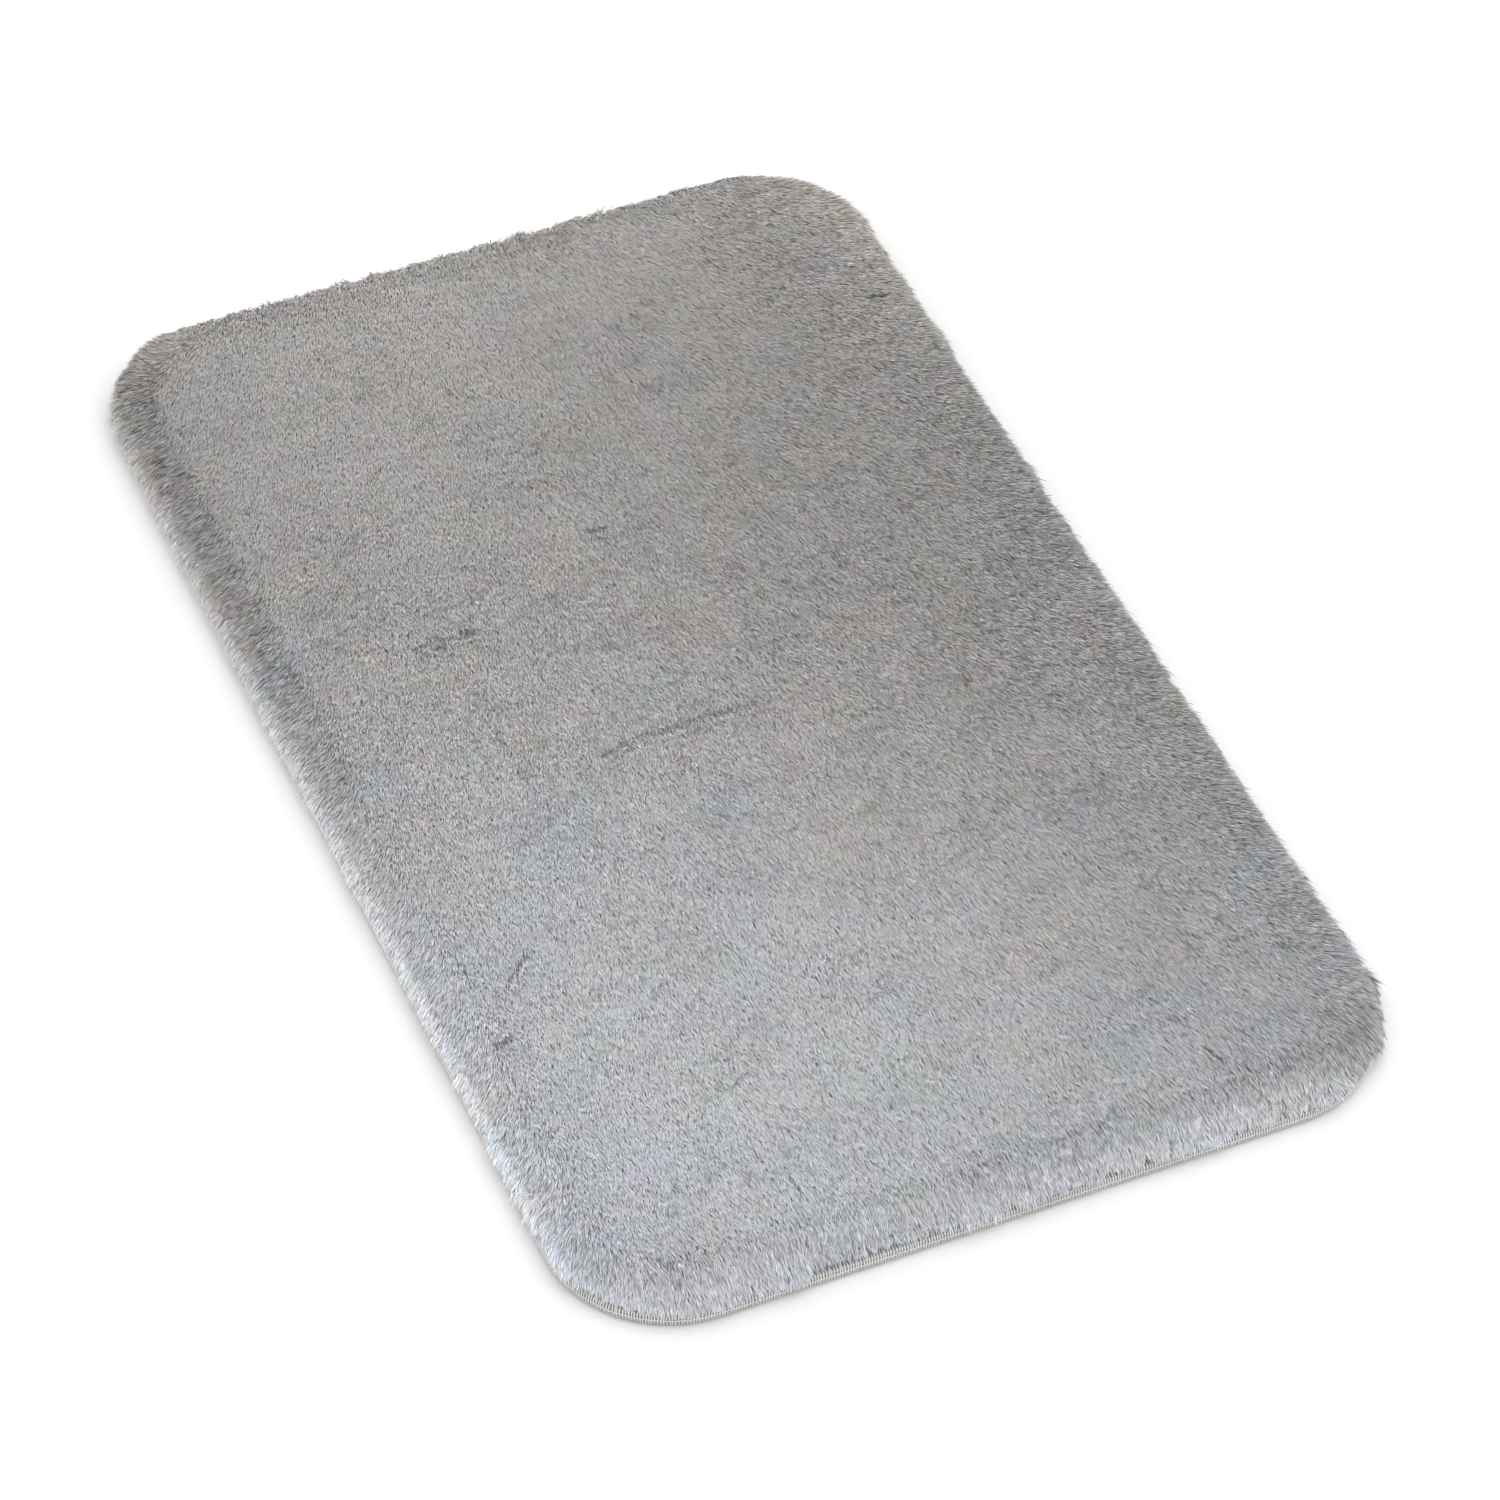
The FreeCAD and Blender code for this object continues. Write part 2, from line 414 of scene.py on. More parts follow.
def weave_material(name, pitch, dark, pale, rough=(0.75, 0.95), bump_mm=0.12, knit=False):
    """Plain weave, or knit wales when knit is set, from two crossed waves in object space."""
    m, nt, p = new_material(name)
    tc = nt.nodes.new("ShaderNodeTexCoord")
    split = nt.nodes.new("ShaderNodeSeparateXYZ")
    nt.links.new(tc.outputs["Object"], split.inputs[0])
    k = 2 * math.pi / (pitch * MM)
    sx = maths(nt, "SINE", maths(nt, "MULTIPLY", split.outputs[0], k))
    sy = maths(nt, "SINE", maths(nt, "MULTIPLY", split.outputs[1], k * (0.6 if knit else 1.0)))
    if knit:
        wave = maths(nt, "MULTIPLY_ADD", maths(nt, "ABSOLUTE", sx), 0.7, maths(nt, "MULTIPLY", sy, 0.3))
    else:
        wave = maths(nt, "MULTIPLY_ADD", maths(nt, "MULTIPLY", sx, sy), 0.5, 0.5)
    fibre = object_noise(nt, 1500.0, 3.0, 0.6)
    broad = object_noise(nt, 25.0, 3.0, 0.5)
    height = maths(nt, "MULTIPLY_ADD", wave, 0.7, maths(nt, "MULTIPLY", fibre, 0.3))
    tint = maths(nt, "MULTIPLY_ADD", broad, 0.3, maths(nt, "MULTIPLY", height, 0.7))
    nt.links.new(ramp(nt, tint, [(0.15, dark), (0.75, pale)]), p.inputs["Base Color"])
    nt.links.new(ramp(nt, fibre, [(0.2, rough[0]), (0.8, rough[1])]), p.inputs["Roughness"])
    bump = node(nt, "ShaderNodeBump", Strength=0.7, Distance=bump_mm * MM)
    nt.links.new(height, bump.inputs["Height"])
    nt.links.new(bump.outputs[0], p.inputs["Normal"])
    return m


def foam_material():
    # foam cells and pores; the colour is darkened to a dim grey as painted shade, since the foam shows only in the gaps
    # between the overlock loops
    m, nt, p = new_material("foam_cells_painted_shade")
    tc = nt.nodes.new("ShaderNodeTexCoord")
    vor = nt.nodes.new("ShaderNodeTexVoronoi")
    vor.feature = "F1"
    vor.inputs["Scale"].default_value = 900.0
    nt.links.new(tc.outputs["Object"], vor.inputs["Vector"])
    broad = object_noise(nt, 18.0, 3.0, 0.5)
    f = maths(nt, "MULTIPLY_ADD", vor.outputs["Distance"], 0.6, maths(nt, "MULTIPLY", broad, 0.4))
    nt.links.new(ramp(nt, f, [(0.15, (0.25, 0.245, 0.235)), (0.6, (0.46, 0.455, 0.44))]), p.inputs["Base Color"])
    nt.links.new(ramp(nt, f, [(0.1, 0.95), (0.7, 0.8)]), p.inputs["Roughness"])
    bump = node(nt, "ShaderNodeBump", Strength=0.8, Distance=0.0004)
    bump.invert = True
    nt.links.new(vor.outputs["Distance"], bump.inputs["Height"])
    nt.links.new(bump.outputs[0], p.inputs["Normal"])
    return m


def rubber_material():
    m, nt, p = new_material("grip_rubber")
    fine = object_noise(nt, 700.0, 3.0, 0.6)
    broad = object_noise(nt, 35.0, 3.0, 0.55)
    f = maths(nt, "MULTIPLY_ADD", broad, 0.5, maths(nt, "MULTIPLY", fine, 0.5))
    nt.links.new(ramp(nt, f, [(0.25, (0.44, 0.43, 0.41)), (0.75, (0.62, 0.61, 0.585))]), p.inputs["Base Color"])
    nt.links.new(ramp(nt, f, [(0.2, 0.42), (0.8, 0.68)]), p.inputs["Roughness"])
    bump = node(nt, "ShaderNodeBump", Strength=0.35, Distance=0.0003)
    nt.links.new(fine, bump.inputs["Height"])
    nt.links.new(bump.outputs[0], p.inputs["Normal"])
    return m


def floor_material():
    m, nt, p = new_material("studio_floor")
    f = object_noise(nt, 3.0, 2.0, 0.5)
    nt.links.new(ramp(nt, f, [(0.3, 0.795), (0.7, 0.805)]), p.inputs["Base Color"])
    p.inputs["Roughness"].default_value = 0.9
    p.inputs["Specular IOR Level"].default_value = 0.1
    return m


def place(ob, material, slot, *stands_for):
    ob.data.materials.append(material)
    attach(ob, "root")
    if stands_for:
        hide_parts(*stands_for)
    return ob


# ------------------------------------------------------------------ camera
AZ, EL, ROLL = -24.146, 46.317, 0.98
FOCAL = 5883.0                                  # in units of a 1500-wide frame
PER_MM = 1.7647                                 # frame units for each millimetre at the target
TARGET = np.array([5.6, -35.0, 0.0])
a, e, r = (math.radians(v) for v in (AZ, EL, ROLL))
back = np.array([math.sin(a) * math.cos(e), -math.cos(a) * math.cos(e), math.sin(e)])
right = np.array([math.cos(a), math.sin(a), 0.0])
up = np.cross(back, right)
right, up = right * math.cos(r) + up * math.sin(r), up * math.cos(r) - right * math.sin(r)
cam_data = bpy.data.cameras.new("camera")
cam_data.sensor_width = 36.0
cam_data.lens = FOCAL / 1500.0 * 36.0
cam_data.clip_start, cam_data.clip_end = 0.05, 50.0
cam = bpy.data.objects.new("camera", cam_data)
bpy.context.scene.collection.objects.link(cam)
cam.matrix_world = Matrix.Translation(Vector((TARGET + back * FOCAL / PER_MM) * MM)) @ Matrix(
    (right, up, back)
).transposed().to_4x4()
bpy.context.scene.camera = cam

# ------------------------------------------------------------------ base layers
NEAR = [0, 0.35, 0.8, 1.4, 2.2, 3.2, 4.5, 6.0, 8.0, 10.5, 13.5, 17.0, 21.0]


def pinched(z_mid, z_face, reach=5.0, squeeze=0.35):
    """Height of a layer's face that the overlock pulls in a little towards the middle at the edge."""
    return lambda X, Y, d: z_mid + (z_face - z_mid) * (1 - squeeze * (1 - smooth(0, reach, d)))


xs, ys = spaced(BW, NEAR, 7.0), spaced(BL, NEAR, 7.0)
Z_MID = (BACK_LO[2] + GROUND_HI[2]) / 2
soft = lambda X, Y, k: k * noise(X / 40, Y / 40, 71)

foam = slab_mesh(
    "foam_core_sheet", BW, BL, CUT_R, xs, ys,
    lambda X, Y, d: Z_MID + (FOAM_HI[2] - 0.06 - Z_MID) * (1 - 0.12 * (1 - smooth(0, 5, d))) + soft(X, Y, 0.02),
    lambda X, Y, d: Z_MID + (FOAM_LO[2] + 0.06 - Z_MID) * (1 - 0.12 * (1 - smooth(0, 5, d))),
)
place(foam, foam_material(), "foam", "foam_core")

ground = slab_mesh(
    "ground_fabric_sheet", BW, BL, CUT_R, xs, ys,
    lambda X, Y, d: Z_MID + (GROUND_HI[2] - Z_MID) * (1 - 0.12 * (1 - smooth(0, 5, d))) + soft(X, Y, 0.02),
    lambda X, Y, d: Z_MID + (GROUND_LO[2] - Z_MID) * (1 - 0.12 * (1 - smooth(0, 5, d))) + soft(X, Y, 0.02),
)
place(
    ground,
    weave_material("ground_knit", 1.4, (0.30, 0.295, 0.29), (0.48, 0.473, 0.468), bump_mm=0.25, knit=True),
    "ground_knit", "ground_fabric",
)
backing = slab_mesh(
    "backing_cloth_sheet", BW, BL, CUT_R, xs, ys,
    lambda X, Y, d: Z_MID + (BACK_HI[2] - Z_MID) * (1 - 0.12 * (1 - smooth(0, 5, d))),
    lambda X, Y, d: Z_MID + (BACK_LO[2] - Z_MID) * (1 - 0.12 * (1 - smooth(0, 5, d))),
)
place(
    backing,
    weave_material("backing_weave", 1.1, (0.30, 0.295, 0.285), (0.56, 0.55, 0.535), bump_mm=0.18),
    "backing_weave", "backing_cloth",
)

# ------------------------------------------------------------------ grip coating: a thin skin with domed dots
PITCH, MARGIN, DOT_R = 30.0, 12.0, 3.0
gw, gl, gr = GRIP_HI[0], GRIP_HI[1], CUT_R - (BW - GRIP_HI[0])
SKIN_LO = GRIP_HI[2] - 0.3
skin = slab_mesh(
    "grip_skin_part", gw, gl, gr, spaced(gw, NEAR[:8], 12.0), spaced(gl, NEAR[:8], 12.0),
    lambda X, Y, d: GRIP_HI[2] - 0.02 + 0 * X,
    lambda X, Y, d: SKIN_LO + 0.12 * (1 - smooth(0, 1.2, d)) + 0.02 * noise(X / 9, Y / 9, 5),
)
cx, cy = [], []
for j in range(-60, 61):
    for i in range(-20, 21):
        cx.append((i + (0.5 if j % 2 else 0.0)) * PITCH)
        cy.append(j * PITCH / 2)
cx, cy = np.array(cx), np.array(cy)
d, _, _ = inside_by(cx, cy, BW, BL, CUT_R)
cx, cy = cx[d >= MARGIN], cy[d >= MARGIN]
prof = [(3.15, 1.30), (3.02, 1.02), (2.86, 0.62), (2.62, 0.30), (2.25, 0.09), (1.6, 0.0), (0.8, 0.0)]
SEG = 18
ang = np.linspace(0, 2 * np.pi, SEG, endpoint=False)
one = np.array([[pr * math.cos(t), pr * math.sin(t), pz] for pr, pz in prof for t in ang] + [[0, 0, 0.0]])
q = []
for k in range(len(prof) - 1):
    for s in range(SEG):
        q.append([k * SEG + s, (k + 1) * SEG + s, (k + 1) * SEG + (s + 1) % SEG, k * SEG + (s + 1) % SEG])
q = np.array(q)
last = (len(prof) - 1) * SEG
tri = np.array([[last + s, len(one) - 1, last + (s + 1) % SEG] for s in range(SEG)])
cap = np.array([[(s + 1) % SEG if False else s for s in range(SEG)]])
n1, nd = len(one), len(cx)
jit = 1 + 0.05 * (hash01(cx, cy, 3) - 0.5)
co = one[None] * np.stack([jit, jit, np.ones(nd)], -1)[:, None, :] + np.stack([cx, cy, 0 * cx], -1)[:, None, :]
off = (np.arange(nd) * n1)[:, None, None]
dots = make_mesh(
    "grip_coating_dots", co.reshape(-1, 3),
    [(q[None] + off).reshape(-1, 4), (tri[None] + off).reshape(-1, 3), (cap[None] + off).reshape(-1, SEG)],
)
bpy.ops.object.select_all(action="DESELECT")
skin.select_set(True)
dots.select_set(True)
bpy.context.view_layer.objects.active = dots
bpy.ops.object.join()
place(dots, rubber_material(), "grip_rubber", "grip_coating")

# ------------------------------------------------------------------ overlock threads
PERIM = perimeter(BW, BL, CUT_R)
STITCHES = 791
STEP = PERIM / STITCHES
rng = np.random.default_rng(7)


def seam_points(pattern, phase):
    """Points of a thread from a pattern of (fraction of a stitch, distance inside the cut edge, height) repeated round the mat."""
    k = np.arange(STITCHES)
    pts = []
    wob_in = rng.normal(0, 0.16, STITCHES)
    wob_s = rng.normal(0, 0.05, STITCHES)
    wob_z = rng.normal(0, 0.05, STITCHES)
    for frac, inset, z in pattern:
        s = (k + phase + frac + wob_s) * STEP
        x, y, nx, ny = along(s, BW, BL, CUT_R)
        ins = inset + wob_in * (0.35 if inset < 1 else 1.0)
        pts.append(np.stack([x - nx * ins, y - ny * ins, z + wob_z * (inset > 1)], -1))
    return np.stack(pts, 1).reshape(-1, 3)


zt, zb, T = Z_ROOT - 0.18, Z_UNDER + 0.18, 0.40
upper_path = seam_points(
    [
        (0.00, SEAM_W, zt + 0.18), (0.10, 3.6, zt + T + 0.12), (0.20, 1.3, zt + T + 0.05), (0.24, 0.1, zt + 0.16),
        (0.25, -0.50, zt - 0.9), (0.25, -0.60, zt - 2.0), (0.26, -0.62, Z_KNOT + 0.45), (0.36, -0.66, Z_KNOT - 0.05),
        (0.64, -0.66, Z_KNOT - 0.05), (0.74, -0.62, Z_KNOT + 0.45), (0.75, -0.60, zt - 2.0), (0.75, -0.50, zt - 0.9),
        (0.76, 0.1, zt + 0.16), (0.80, 1.3, zt + T + 0.05), (0.90, 3.6, zt + T + 0.12),
    ],
    0.0,
)
upper = tube_mesh("upper_looper_stitches", upper_path, T)
lower_path = seam_points(
    [
        (0.00, SEAM_W, zb - 0.12), (0.10, 3.6, zb - T - 0.02), (0.20, 1.3, zb - T + 0.04), (0.24, 0.1, zb - 0.10),
        (0.25, -0.50, zb + 0.8), (0.25, -0.58, Z_KNOT - 1.2), (0.26, -0.60, Z_KNOT - 0.45), (0.36, -0.64, Z_KNOT + 0.05),
        (0.64, -0.64, Z_KNOT + 0.05), (0.74, -0.60, Z_KNOT - 0.45), (0.75, -0.58, Z_KNOT - 1.2), (0.75, -0.50, zb + 0.8),
        (0.76, 0.1, zb - 0.10), (0.80, 1.3, zb - T + 0.04), (0.90, 3.6, zb - T - 0.02),
    ],
    0.5,
)
lower = tube_mesh("lower_looper_stitches", lower_path, T)
needle_path = seam_points(
    [
        (0.02, SEAM_W + 0.2, Z_ROOT - 0.5), (0.10, SEAM_W + 0.25, Z_ROOT + 0.12), (0.30, SEAM_W + 0.3, Z_ROOT + 0.30),
        (0.55, SEAM_W + 0.3, Z_ROOT + 0.33), (0.80, SEAM_W + 0.3, Z_ROOT + 0.28), (0.94, SEAM_W + 0.25, Z_ROOT + 0.1),
    ],
    0.0,
)
needle = tube_mesh("needle_stitches", needle_path, 0.24)
thread = thread_material()
place(upper, thread, "overlock_thread", "upper_looper_thread")
place(lower, thread, "overlock_thread", "lower_looper_thread")
place(needle, thread, "overlock_thread", "needle_thread")

# ------------------------------------------------------------------ pile
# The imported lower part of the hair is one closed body. The locks that show grow out of it and
# end near an envelope that turns over the edge of the mat.
# Its profile is a quarter ellipse, # full on the right and back sides, where the hair leans out, and rounder on the left and front.
CORE_Z0, CORE_Z1 = Z_ROOT + 0.7, TOP - 3.2
SINK = 0.5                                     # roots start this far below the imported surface


def fullness(gx, gy):
    """0 on the left and front sides, 1 on the right side, 2 at the back, where the shoulder is squarest."""
    return np.clip(gx, 0, 1) ** 2 + 2 * np.clip(gy, 0, 1) ** 2


def core_from(full):
    return np.interp(full, [0, 1, 2], [8.0, 6.0, 5.0])


def core_to(full):
    return np.interp(full, [0, 1, 2], [34.0, 14.5, 10.0])


def edge_in(full):
    """Distance inside the outline at which the top locks give way to the edge locks."""
    return np.interp(full, [0, 1, 2], [21.0, 11.0, 8.5])


def swell(x, y):
    """Slow rise and fall of the pile's surface."""
    return 0.45 * noise(x / 95, y / 110, 11) + 0.22 * noise(x / 38, y / 24, 12)


CORE_EDGE = 5.0                                # the core's own outline, this far inside the pile's


def core_z(x, y, d, full):
    u = np.clip((d - core_from(full)) / (core_to(full) - core_from(full)), 0, 1)
    z = CORE_Z0 + (CORE_Z1 - CORE_Z0) * np.sqrt(np.maximum(1 - (1 - u) ** 2, 0))
    # thins out to nothing over the seam
    z = z - (CORE_Z0 - Z_ROOT - 0.17) * smooth(core_from(full), CORE_EDGE - 0.5, d)
    return z + swell(x, y) * smooth(CORE_EDGE, 30, d)


def core_top(X, Y, d):
    _, gx, gy = inside_by(X, Y, HW, HL, HR)
    return core_z(X, Y, d + CORE_EDGE, fullness(gx, gy))


cw, cl, cr = HW - CORE_EDGE, HL - CORE_EDGE, HR - CORE_EDGE
near_core = [0, 0.12, 0.35, 0.7, 1.2, 1.7, 2.1, 2.5, 3.0, 3.6, 4.4, 5.4, 6.7, 8.5, 10.8, 13.5, 17.0, 21.0]
core = slab_mesh(
    "packed_pile", cw, cl, cr, spaced(cw, near_core, 5.0), spaced(cl, near_core, 5.0),
    core_top,
    lambda X, Y, d: Z_ROOT + 0.12 + 0.0 * X,
)
place(core, under_fur_material(), "faux_fur", "fur_pile")

# Short marks where the pile has parted: points on the mat and how strongly it has opened.
PARTINGS = [
    ([(-140, 93), (-128, 89), (-112, 89)], 1.2),
    ([(-24, 140), (-11, 139)], 1.2),
    ([(-82, -31), (-69, -26), (-58, -24.5), (-39, -25), (-19, -24), (14, -25)], 1.0),
    ([(14, -25), (30, -29), (48, -27)], 0.45),
    ([(-118, -43), (-100, -38), (-82, -31)], 0.4),
    ([(-150, 86), (-140, 90), (-133, 80)], 0.9),
    ([(46, -36), (79, -40)], 0.5),
    ([(143, -5), (172, -4), (203, -3)], 0.8),
    ([(209, 263), (226, 259)], 1.2),
    ([(-196, -169), (-181, -155), (-173, -151)], 1.1),
    ([(-217, -206), (-206, -204)], 1.2),
    ([(-7, -311), (2, -318)], 0.8),
    ([(132, -353), (137, -367)], 1.1),
    ([(-229, -341), (-222, -352)], 0.8),
    ([(-194, -374), (-187, -382)], 0.8),
    ([(-109, -350), (-107, -362)], 1.0),
    ([(-53, -97), (-34, -95)], 0.5),
]
rng = np.random.default_rng(515)
for k in range(230):
    mx, my = rng.uniform(-215, 215), rng.uniform(-370, 380)
    # fewer and fainter in the smooth front left part
    calm = smooth(-1.2, 1.0, mx / 243 + my / 406 + rng.normal(0, 0.25))
    if rng.uniform() > 0.25 + 0.75 * calm:
        continue
    span, tilt = rng.uniform(5, 26), rng.normal(0.0, 0.22)
    pts, hx, hy = [], mx, my
    for i in range(4):
        pts.append((hx, hy))
        hx += span / 3 * math.cos(tilt)
        hy += span / 3 * math.sin(tilt)
        tilt += rng.normal(0, 0.3)
    PARTINGS.append((pts, rng.uniform(0.15, 0.5) * (0.55 + 0.45 * calm)))


def cut_at_partings(x, y, dx, dy, rng):
    """Where a parting crosses a hair: the share of its length that is left, how near its root lies behind the line, and
    how much painted shade its tip gets where it lies in the line.
    """
    keep = np.ones_like(x)
    near = np.zeros_like(x)
    dark = np.zeros_like(x)
    for pts, strength in PARTINGS:
        for (x0, y0), (x1, y1) in zip(pts[:-1], pts[1:]):
            reach = 12.0
            m = np.nonzero(
                (x > min(x0, x1) - reach) & (x < max(x0, x1) + reach)
                & (y > min(y0, y1) - reach) & (y < max(y0, y1) + reach)
            )[0]
            if not len(m):
                continue
            vx, vy = x1 - x0, y1 - y0
            wave = 0.9 * noise(x[m] / 2.6, y[m] / 2.6, 301) + 0.6 * noise(x[m] / 6.0, y[m] / 6.0, 302)
            rx, ry = x[m] - x0, y[m] - y0 + wave
            den = dx[m] * vy - dy[m] * vx
            den = np.where(np.abs(den) < 1e-6, 1e-6, den)
            t = -(rx * vy - ry * vx) / den         # along the hair
            u = -(rx * dy[m] - ry * dx[m]) / den   # along the parting
            on = (u > -0.02) & (u < 1.02)
            gap = smooth(-0.5, 0.5, noise(x[m] / 3.0, y[m] / 3.0, 303) + 0.8 * strength - 0.5)
            soft = strength * np.clip(np.minimum(u + 0.05, 1.05 - u) * 6, 0.3, 1.0) * gap
            hit = on & (t > 0.1) & (t < 0.85) & (rng.uniform(0, 1, len(m)) < soft * 0.75)
            keep[m] = np.where(hit, np.minimum(keep[m], np.maximum(t + rng.uniform(-0.02, 0.12, len(m)), 0.3)), keep[m])
            behind = on & (t < 0.1) & (t > -0.2)
            near[m] = np.maximum(near[m], np.where(behind, soft, 0))
            # hairs whose outer part lies in the line itself, which get painted shade
            tx, ty = x[m] + 0.88 * dx[m] - x0, y[m] + 0.88 * dy[m] - y0 + wave
            span = max(math.hypot(vx, vy), 1e-6)
            run = np.clip((tx * vx + ty * vy) / span**2, 0, 1)
            off = np.hypot(tx - run * vx, ty - run * vy)
            dark[m] = np.maximum(dark[m], smooth(1.35, 0.5, off) * strength * gap * rng.uniform(0.35, 1.0, len(m)))
    return keep, near, dark


def nap(x, y):
    """Plan direction of the hair: towards the front, fanning out to both sides, most of all at the back."""
    u, v = x / 243.0, y / 406.0
    phi = np.radians(-94.0 + 20.2 * u - 1.6 * v + 15.9 * u * v + 3.9 * u * u - 1.5 * v * v)
    phi = phi + 0.12 * noise(x / 60, y / 70, 21) + 0.09 * noise(x / 17, y / 20, 22) + 0.08 * noise(x / 6, y / 7, 23)
    vx, vy = np.cos(phi), np.sin(phi)
    d, gx, gy = inside_by(x, y, HW, HL, HR)
    right_side = np.clip(gx, 0, 1) * smooth(45, 3, d) * 0.9
    left_side = np.clip(-gx, 0, 1) * smooth(29, 20, d) * (0.35 + 1.0 * smooth(-90, 170, y + 60 * np.clip(gy, 0, 1)))
    back_side = np.clip(gy, 0, 1) * np.clip(-gx * 1.5, 0, 1) * smooth(24, 14, d) * 2.0
    front_side = np.clip(-gy, 0, 1) * smooth(22, 4, d) * 0.4
    k = right_side + left_side + back_side + front_side
    vx, vy = vx + gx * k, vy + gy * k
    n = np.maximum(np.hypot(vx, vy), 1e-6)
    return vx / n, vy / n


def lock_cells(u, v, size, seed):
    """Which clump each hair belongs to: its cell, and the clump's centre in the same coordinates."""
    iu, iv = np.floor(u / size), np.floor(v / size)
    cu = (iu + 0.5 + 0.7 * (hash01(iu, iv, seed) - 0.5)) * size
    cv = (iv + 0.5 + 0.7 * (hash01(iu, iv, seed + 1) - 0.5)) * size
    return iu, iv, cu, cv


def busy(x, y):
    """How ruffled the pile is: most across the middle, least at the back left and in the front."""
    u, v = x / 243.0, y / 406.0
    b = 0.80 + 0.50 * np.exp(-(((v - 0.08 + 0.15 * u) / 0.42) ** 2)) + 0.22 * noise(x / 48, y / 30, 91)
    return b - 0.40 * smooth(0.45, 0.95, v - 0.35 * u)


def painted_lie_shading(x, y):
    """Slight painted light and shade where the hair lies a little differently, in bands across the mat."""
    u, v = x / 243.0, y / 406.0
    ruffled = 0.45 + 0.55 * smooth(-1.0, 0.6, u + v)
    return ruffled * (
        0.042 * noise(x / 55, (y + 0.1 * x) / 13, 81) + 0.034 * noise(x / 20, y / 12, 82) + 0.02 * noise(x / 90, y / 70, 83)
    )


def painted_light_gradient(x, y):
    """Broad change of lightness across the mat, painted light and shade for the way the hair lies to the light."""
    u, v = x / 243.0, y / 406.0
    return np.exp(
        0.136 - 0.245 * u + 0.06 * smooth(0.55, 0.85, u) * np.exp(-(((v - 0.1) / 0.5) ** 2)) - 0.215 * v + 0.078 * u * v - 0.160 * u * u + 0.089 * v * v
        + 0.185 * v**3 + 0.165 * u * v * v - 0.045 * u * u * v + 0.063 * u**3
    )


def painted_shadow_lines(x, y):
    """Thin wandering lines of painted shadow across the mat where one row of hair ends on the next."""
    u, v = x / 243.0, y / 406.0
    where = smooth(-0.35, 0.55, noise(x / 70, y / 45, 121) + 0.35 * np.exp(-(((v - 0.05) / 0.45) ** 2)) + 0.25 * u)
    wx, wy = x + 3.0 * noise(x / 12, y / 12, 122), y - 0.07 * x + 1.6 * noise(x / 7, y / 7, 123)
    a = 1 - np.minimum(np.abs(noise(wx / 42, wy / 12, 124)) / 0.13, 1)
    b = 1 - np.minimum(np.abs(noise(wx / 26, wy / 8.5, 125)) / 0.13, 1)
    broken = smooth(-0.3, 0.5, noise(x / 9, y / 6, 126))
    return where * (0.34 * a * broken + 0.19 * b)


STATIONS = {2: [0.62], 3: [0.36, 0.72]}


def grow(root, nrm, lean, length, width, kind, rise0, rise1, droop, pull, roll, jitter):
    """Blades from a narrow root through one or two wide stations to a fine tip."""
    n = len(root)
    st = [0.0] + STATIONS[kind] + [1.0]
    pts = [root]
    for k in range(len(st) - 1):
        t = (st[k] + st[k + 1]) / 2
        v = nrm * (rise0 + (rise1 - rise0) * t)[:, None] + lean + jitter * t
        v[:, 2] -= droop * t
        pts.append(pts[-1] + unit(v) * (length * (st[k + 1] - st[k]))[:, None])
    for k in range(1, len(pts)):
        pts[k] = pts[k] + pull * st[k] ** 1.3
    per = 2 * len(STATIONS[kind]) + 2
    co = np.zeros((n, per, 3))
    co[:, 0] = pts[0]
    for k, t in enumerate(STATIONS[kind]):
        v = unit(pts[k + 2] - pts[k])
        e1 = unit(np.cross(v, nrm))
        e2 = np.cross(e1, v)
        side = e1 * np.cos(roll)[:, None] + e2 * np.sin(roll)[:, None]
        w = width * 0.5 * (1.0 if t > 0.5 else 0.85)
        co[:, 1 + 2 * k] = pts[k + 1] - side * w[:, None]
        co[:, 2 + 2 * k] = pts[k + 1] + side * w[:, None]
    co[:, -1] = pts[-1]
    return co


# the roots are painted darker than the tips: painted shade deep in the pile
ROOT_SHADED_TONE = 0.50


def blade_tones(tone_and_painted_light, kind, n, root_shaded_tone=ROOT_SHADED_TONE):
    st = [0.0] + [t for t in STATIONS[kind] for _ in (0, 1)] + [1.0]
    t = np.array(st)[None]
    base = np.zeros((n, 1)) + np.reshape(root_shaded_tone, (-1, 1))
    return tone_and_painted_light[:, None] * (base + (1 - base) * np.clip(t * 1.2, 0, 1))


def blade_faces(n, kind):
    if kind == 2:
        per, tri, quad = 4, [[0, 1, 2], [1, 3, 2]], []
    else:
        per, tri, quad = 6, [[0, 1, 2], [3, 5, 4]], [[1, 3, 4, 2]]
    off = (np.arange(n) * per)[:, None, None]
    out = [(np.array(tri)[None] + off).reshape(-1, 3)]
    if quad:
        out.append((np.array(quad)[None] + off).reshape(-1, 4))
    return out


def blade_uv(n, kind):
    """Each blade has its own small cell of the map."""
    g = int(math.ceil(math.sqrt(n)))
    i = np.arange(n)
    local = [(0.5, 0.06)]
    for t in STATIONS[kind]:
        local += [(0.06, 0.06 + 0.88 * t), (0.94, 0.06 + 0.88 * t)]
    local.append((0.5, 0.94))
    local = np.array(local) / g
    return (np.stack([(i % g) / g, (i // g) / g], -1)[:, None, :] + local[None]).reshape(-1, 2)


def split_into_pieces(prefix, co, tones, kind, count, material):
    order = np.random.default_rng(99).permutation(len(co))
    for k in range(count):
        pick = np.sort(order[k::count])
        ob = make_mesh(
            "%s_%d" % (prefix, k + 1), co[pick].reshape(-1, 3), blade_faces(len(pick), kind),
            uv=blade_uv(len(pick), kind), tone_and_painted_light=tones[pick].ravel(),
        )
        place(ob, material, "faux_fur", "fur_pile")


fur = fur_material("faux_fur_hair")
DENS = 2.1               # hairs to a square millimetre
WIDE = 0.56

